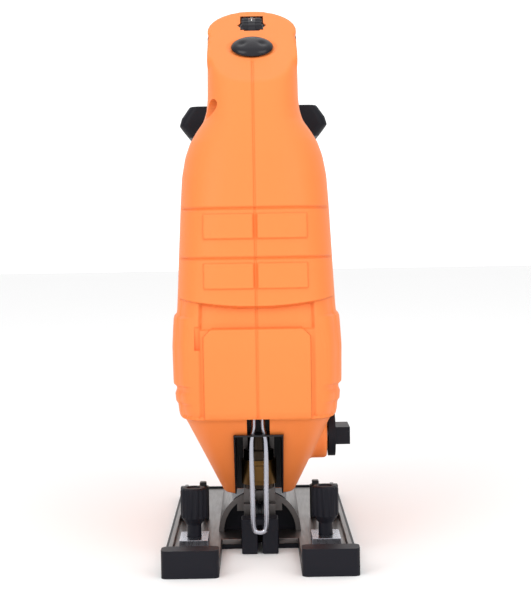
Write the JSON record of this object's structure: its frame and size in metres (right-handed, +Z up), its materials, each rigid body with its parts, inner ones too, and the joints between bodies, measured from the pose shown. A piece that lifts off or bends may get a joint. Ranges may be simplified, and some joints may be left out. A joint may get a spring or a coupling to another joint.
{
  "type": "cordless jigsaw",
  "caption": "Cordless jigsaw with a closed D-shaped handle, tilting forked shoe, wire blade guard, orbit lever, speed dial and battery rails, without battery or blade.",
  "frame": {"origin": "on the ground under the middle of the tool's bounding box", "axes": "+X to the tool's left side (the viewer's right when looking at its front), +Y to the rear, +Z up; the front looks along -Y"},
  "size_m": [0.0766, 0.245, 0.2284],
  "materials": {
    "casing_orange": "fine matt-textured moulded plastic, orange",
    "black_plastic": "glass-filled nylon, black",
    "soft_grip": "soft moulded rubber, black",
    "plate_steel": "zinc-plated pressed steel",
    "bright_steel": "ground or drawn steel",
    "dark_steel": "blackened steel",
    "motor_steel": "zinc-plated steel",
    "gear_steel": "sintered steel",
    "cast_aluminium": "die-cast aluminium",
    "bronze": "sintered bronze",
    "copper": "copper",
    "magnet": "ferrite",
    "carbon": "carbon",
    "board_green": "lacquered circuit board"
  },
  "bodies": {
    "shoe": {"overshoe": "black_plastic", "shoe_plate": "plate_steel", "saddle": "plate_steel", "splinter_insert": "black_plastic", "dust_baffle": "black_plastic", "guide_bridge_left": "plate_steel", "guide_bridge_right": "plate_steel", "bar_keeper_left": "dark_steel", "bar_keeper_right": "dark_steel"},
    "guide_screw_left": {"guide_screw_left": "dark_steel"},
    "guide_screw_right": {"guide_screw_right": "dark_steel"},
    "body": {"housing_left": "casing_orange", "housing_right": "casing_orange", "housing_screws": "dark_steel", "grip_left": "soft_grip", "grip_right": "soft_grip", "battery_foot": "black_plastic", "terminal_block": "black_plastic", "contacts": "copper", "gear_case": "cast_aluminium", "upper_bush": "bronze", "lower_bush": "bronze", "motor_can": "motor_steel", "magnets": "magnet", "motor_end_cap": "black_plastic", "carbon_brushes": "carbon", "front_bearing": "bright_steel", "rear_bearing": "bright_steel", "gear_spindle": "bright_steel", "fork_pivot": "bright_steel", "dial_axle": "bright_steel", "trigger_pin": "bright_steel", "switch_module": "black_plastic", "control_board": "board_green", "wire_guard": "bright_steel", "guard_clip": "black_plastic", "bevel_clamp_plate": "plate_steel", "bevel_screws": "dark_steel"},
    "armature": {"motor_shaft": "bright_steel", "armature_core": "motor_steel", "commutator": "copper", "fan": "black_plastic", "pinion": "gear_steel"},
    "gear": {"drive_gear": "gear_steel", "crank_pin": "bright_steel", "counterweight": "gear_steel"},
    "plunger": {"plunger_rod": "bright_steel", "yoke": "gear_steel", "blade_clamp": "bright_steel"},
    "clamp_collar": {"clamp_collar": "bronze"},
    "roller_fork": {"roller_fork": "dark_steel", "roller_pin": "bright_steel"},
    "guide_roller": {"guide_roller": "bright_steel"},
    "selector": {"selector_knob": "black_plastic", "selector_shaft": "bright_steel"},
    "speed_dial": {"speed_dial": "black_plastic"},
    "lock_button": {"lock_button": "black_plastic"},
    "trigger": {"trigger": "black_plastic"}
  },
  "joints": [
    {"name": "bevel_tilt", "type": "hinge", "parent": "shoe", "child": "body", "pos_m": [0, 0, 0.0042], "axis": [0, 1, 0], "range_deg": [-12, 12]},
    {"name": "guide_screw_left_turn", "type": "hinge", "parent": "shoe", "child": "guide_screw_left", "pos_m": [0.0268, -0.0835, 0.008], "axis": [0, 0, 1], "range_deg": [-180, 180]},
    {"name": "guide_screw_right_turn", "type": "hinge", "parent": "shoe", "child": "guide_screw_right", "pos_m": [-0.0268, -0.0835, 0.008], "axis": [0, 0, 1], "range_deg": [-180, 180]},
    {"name": "armature_spin", "type": "hinge", "parent": "body", "child": "armature", "pos_m": [0, -0.0025, 0.115], "axis": [0, 1, 0], "continuous": true},
    {"name": "gear_spin", "type": "hinge", "parent": "body", "child": "gear", "pos_m": [0, -0.0485, 0.088], "axis": [0, 1, 0], "continuous": true},
    {"name": "plunger_stroke", "type": "slide", "parent": "body", "child": "plunger", "axis": [0, 0, 1], "range_m": [0, 0.02]},
    {"name": "collar_turn", "type": "hinge", "parent": "plunger", "child": "clamp_collar", "pos_m": [0, -0.0725, 0.033], "axis": [0, 0, 1], "range_deg": [0, 60], "stiffness_Nm_per_rad": 0.05},
    {"name": "fork_swing", "type": "hinge", "parent": "body", "child": "roller_fork", "pos_m": [0, -0.0605, 0.057], "axis": [-1, 0, 0], "range_deg": [0, 3]},
    {"name": "roller_spin", "type": "hinge", "parent": "roller_fork", "child": "guide_roller", "pos_m": [0, -0.0655, 0.014], "axis": [1, 0, 0], "continuous": true},
    {"name": "selector_turn", "type": "hinge", "parent": "body", "child": "selector", "pos_m": [0.029, -0.0575, 0.046], "axis": [1, 0, 0], "range_deg": [0, 135]},
    {"name": "speed_dial_turn", "type": "hinge", "parent": "body", "child": "speed_dial", "pos_m": [0, -0.0327, 0.2162], "axis": [1, 0, 0], "range_deg": [0, 270]},
    {"name": "lock_button_slide", "type": "slide", "parent": "body", "child": "lock_button", "axis": [1, 0, 0], "range_m": [-0.0025, 0.0025]},
    {"name": "trigger_pull", "type": "hinge", "parent": "body", "child": "trigger", "pos_m": [0, -0.0215, 0.196], "axis": [1, 0, 0], "range_deg": [0, 7], "stiffness_Nm_per_rad": 0.5}
  ],
  "couplings": [
    {"joint": "gear_spin", "follows": "armature_spin", "ratio": -0.2}
  ]
}
